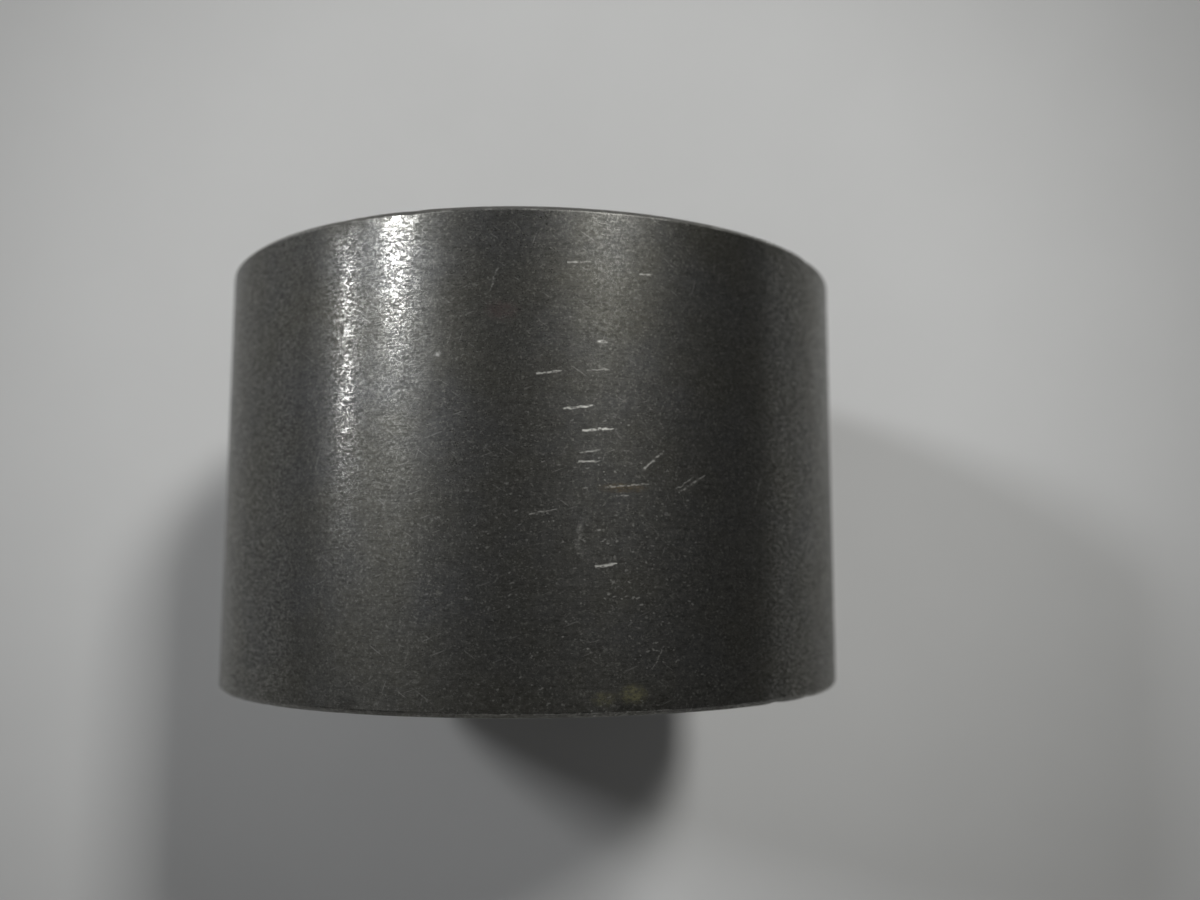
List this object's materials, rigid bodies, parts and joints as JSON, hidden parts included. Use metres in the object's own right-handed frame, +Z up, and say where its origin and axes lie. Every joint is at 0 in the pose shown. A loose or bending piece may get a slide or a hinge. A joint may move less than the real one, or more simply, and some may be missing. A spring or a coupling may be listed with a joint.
{
  "type": "rigid sleeve coupling",
  "caption": "Rigid sleeve coupling: a short turned steel sleeve that joins two keyed shaft ends in line, with keys in a through keyway and set screws over brass pads.",
  "frame": {"origin": "on the bore axis, at the middle of the sleeve's length", "axes": "+Y along the bore towards end A, +Z up with the sleeve lying on its curved side, plain half up; the keyway and the screws over the keys are 135 degrees from +Z towards +X, the side set screws 135 degrees towards -X"},
  "size_m": [0.05, 0.0324, 0.05],
  "materials": {
    "dark_steel": "fine turned, dark, lightly scratched",
    "bright_steel": "bright drawn key steel",
    "black_oxide": "blackened alloy steel, oiled",
    "brass": "turned brass"
  },
  "bodies": {
    "sleeve": {"sleeve": "dark_steel"},
    "drive_key_a": {"drive_key_a": "bright_steel"},
    "key_pad_a": {"key_pad_a": "brass"},
    "key_set_screw_a": {"key_set_screw_a": "black_oxide"},
    "side_pad_a": {"side_pad_a": "brass"},
    "side_set_screw_a": {"side_set_screw_a": "black_oxide"},
    "drive_key_b": {"drive_key_b": "bright_steel"},
    "key_pad_b": {"key_pad_b": "brass"},
    "key_set_screw_b": {"key_set_screw_b": "black_oxide"},
    "side_pad_b": {"side_pad_b": "brass"},
    "side_set_screw_b": {"side_set_screw_b": "black_oxide"}
  },
  "joints": [
    {"name": "drive_key_slide_a", "type": "slide", "parent": "sleeve", "child": "drive_key_a", "axis": [0, 1, 0], "range_m": [-0.00045, 0.016]},
    {"name": "key_pad_travel_a", "type": "slide", "parent": "sleeve", "child": "key_pad_a", "axis": [0.7071, 0, -0.7071], "range_m": [-0.0003, 0.004]},
    {"name": "key_set_screw_turn_a", "type": "hinge", "parent": "key_pad_a", "child": "key_set_screw_a", "pos_m": [0.01227, 0.00813, -0.01227], "axis": [0.7071, 0, -0.7071], "range_deg": [-108.5, 1441]},
    {"name": "side_pad_travel_a", "type": "slide", "parent": "sleeve", "child": "side_pad_a", "axis": [-0.7071, 0, -0.7071], "range_m": [-0.0003, 0.005]},
    {"name": "side_set_screw_turn_a", "type": "hinge", "parent": "side_pad_a", "child": "side_set_screw_a", "pos_m": [-0.01011, 0.00813, -0.01011], "axis": [-0.7071, 0, -0.7071], "range_deg": [-108.5, 1801]},
    {"name": "drive_key_slide_b", "type": "slide", "parent": "sleeve", "child": "drive_key_b", "axis": [0, -1, 0], "range_m": [-0.00045, 0.016]},
    {"name": "key_pad_travel_b", "type": "slide", "parent": "sleeve", "child": "key_pad_b", "axis": [0.7071, 0, -0.7071], "range_m": [-0.0003, 0.004]},
    {"name": "key_set_screw_turn_b", "type": "hinge", "parent": "key_pad_b", "child": "key_set_screw_b", "pos_m": [0.01227, -0.00813, -0.01227], "axis": [0.7071, 0, -0.7071], "range_deg": [-108.5, 1441]},
    {"name": "side_pad_travel_b", "type": "slide", "parent": "sleeve", "child": "side_pad_b", "axis": [-0.7071, 0, -0.7071], "range_m": [-0.0003, 0.005]},
    {"name": "side_set_screw_turn_b", "type": "hinge", "parent": "side_pad_b", "child": "side_set_screw_b", "pos_m": [-0.01011, -0.00813, -0.01011], "axis": [-0.7071, 0, -0.7071], "range_deg": [-108.5, 1801]}
  ],
  "couplings": [
    {"joint": "key_set_screw_turn_a", "follows": "key_pad_travel_a", "rad_per_m": 6283.2},
    {"joint": "side_set_screw_turn_a", "follows": "side_pad_travel_a", "rad_per_m": 6283.2},
    {"joint": "key_set_screw_turn_b", "follows": "key_pad_travel_b", "rad_per_m": 6283.2},
    {"joint": "side_set_screw_turn_b", "follows": "side_pad_travel_b", "rad_per_m": 6283.2}
  ]
}
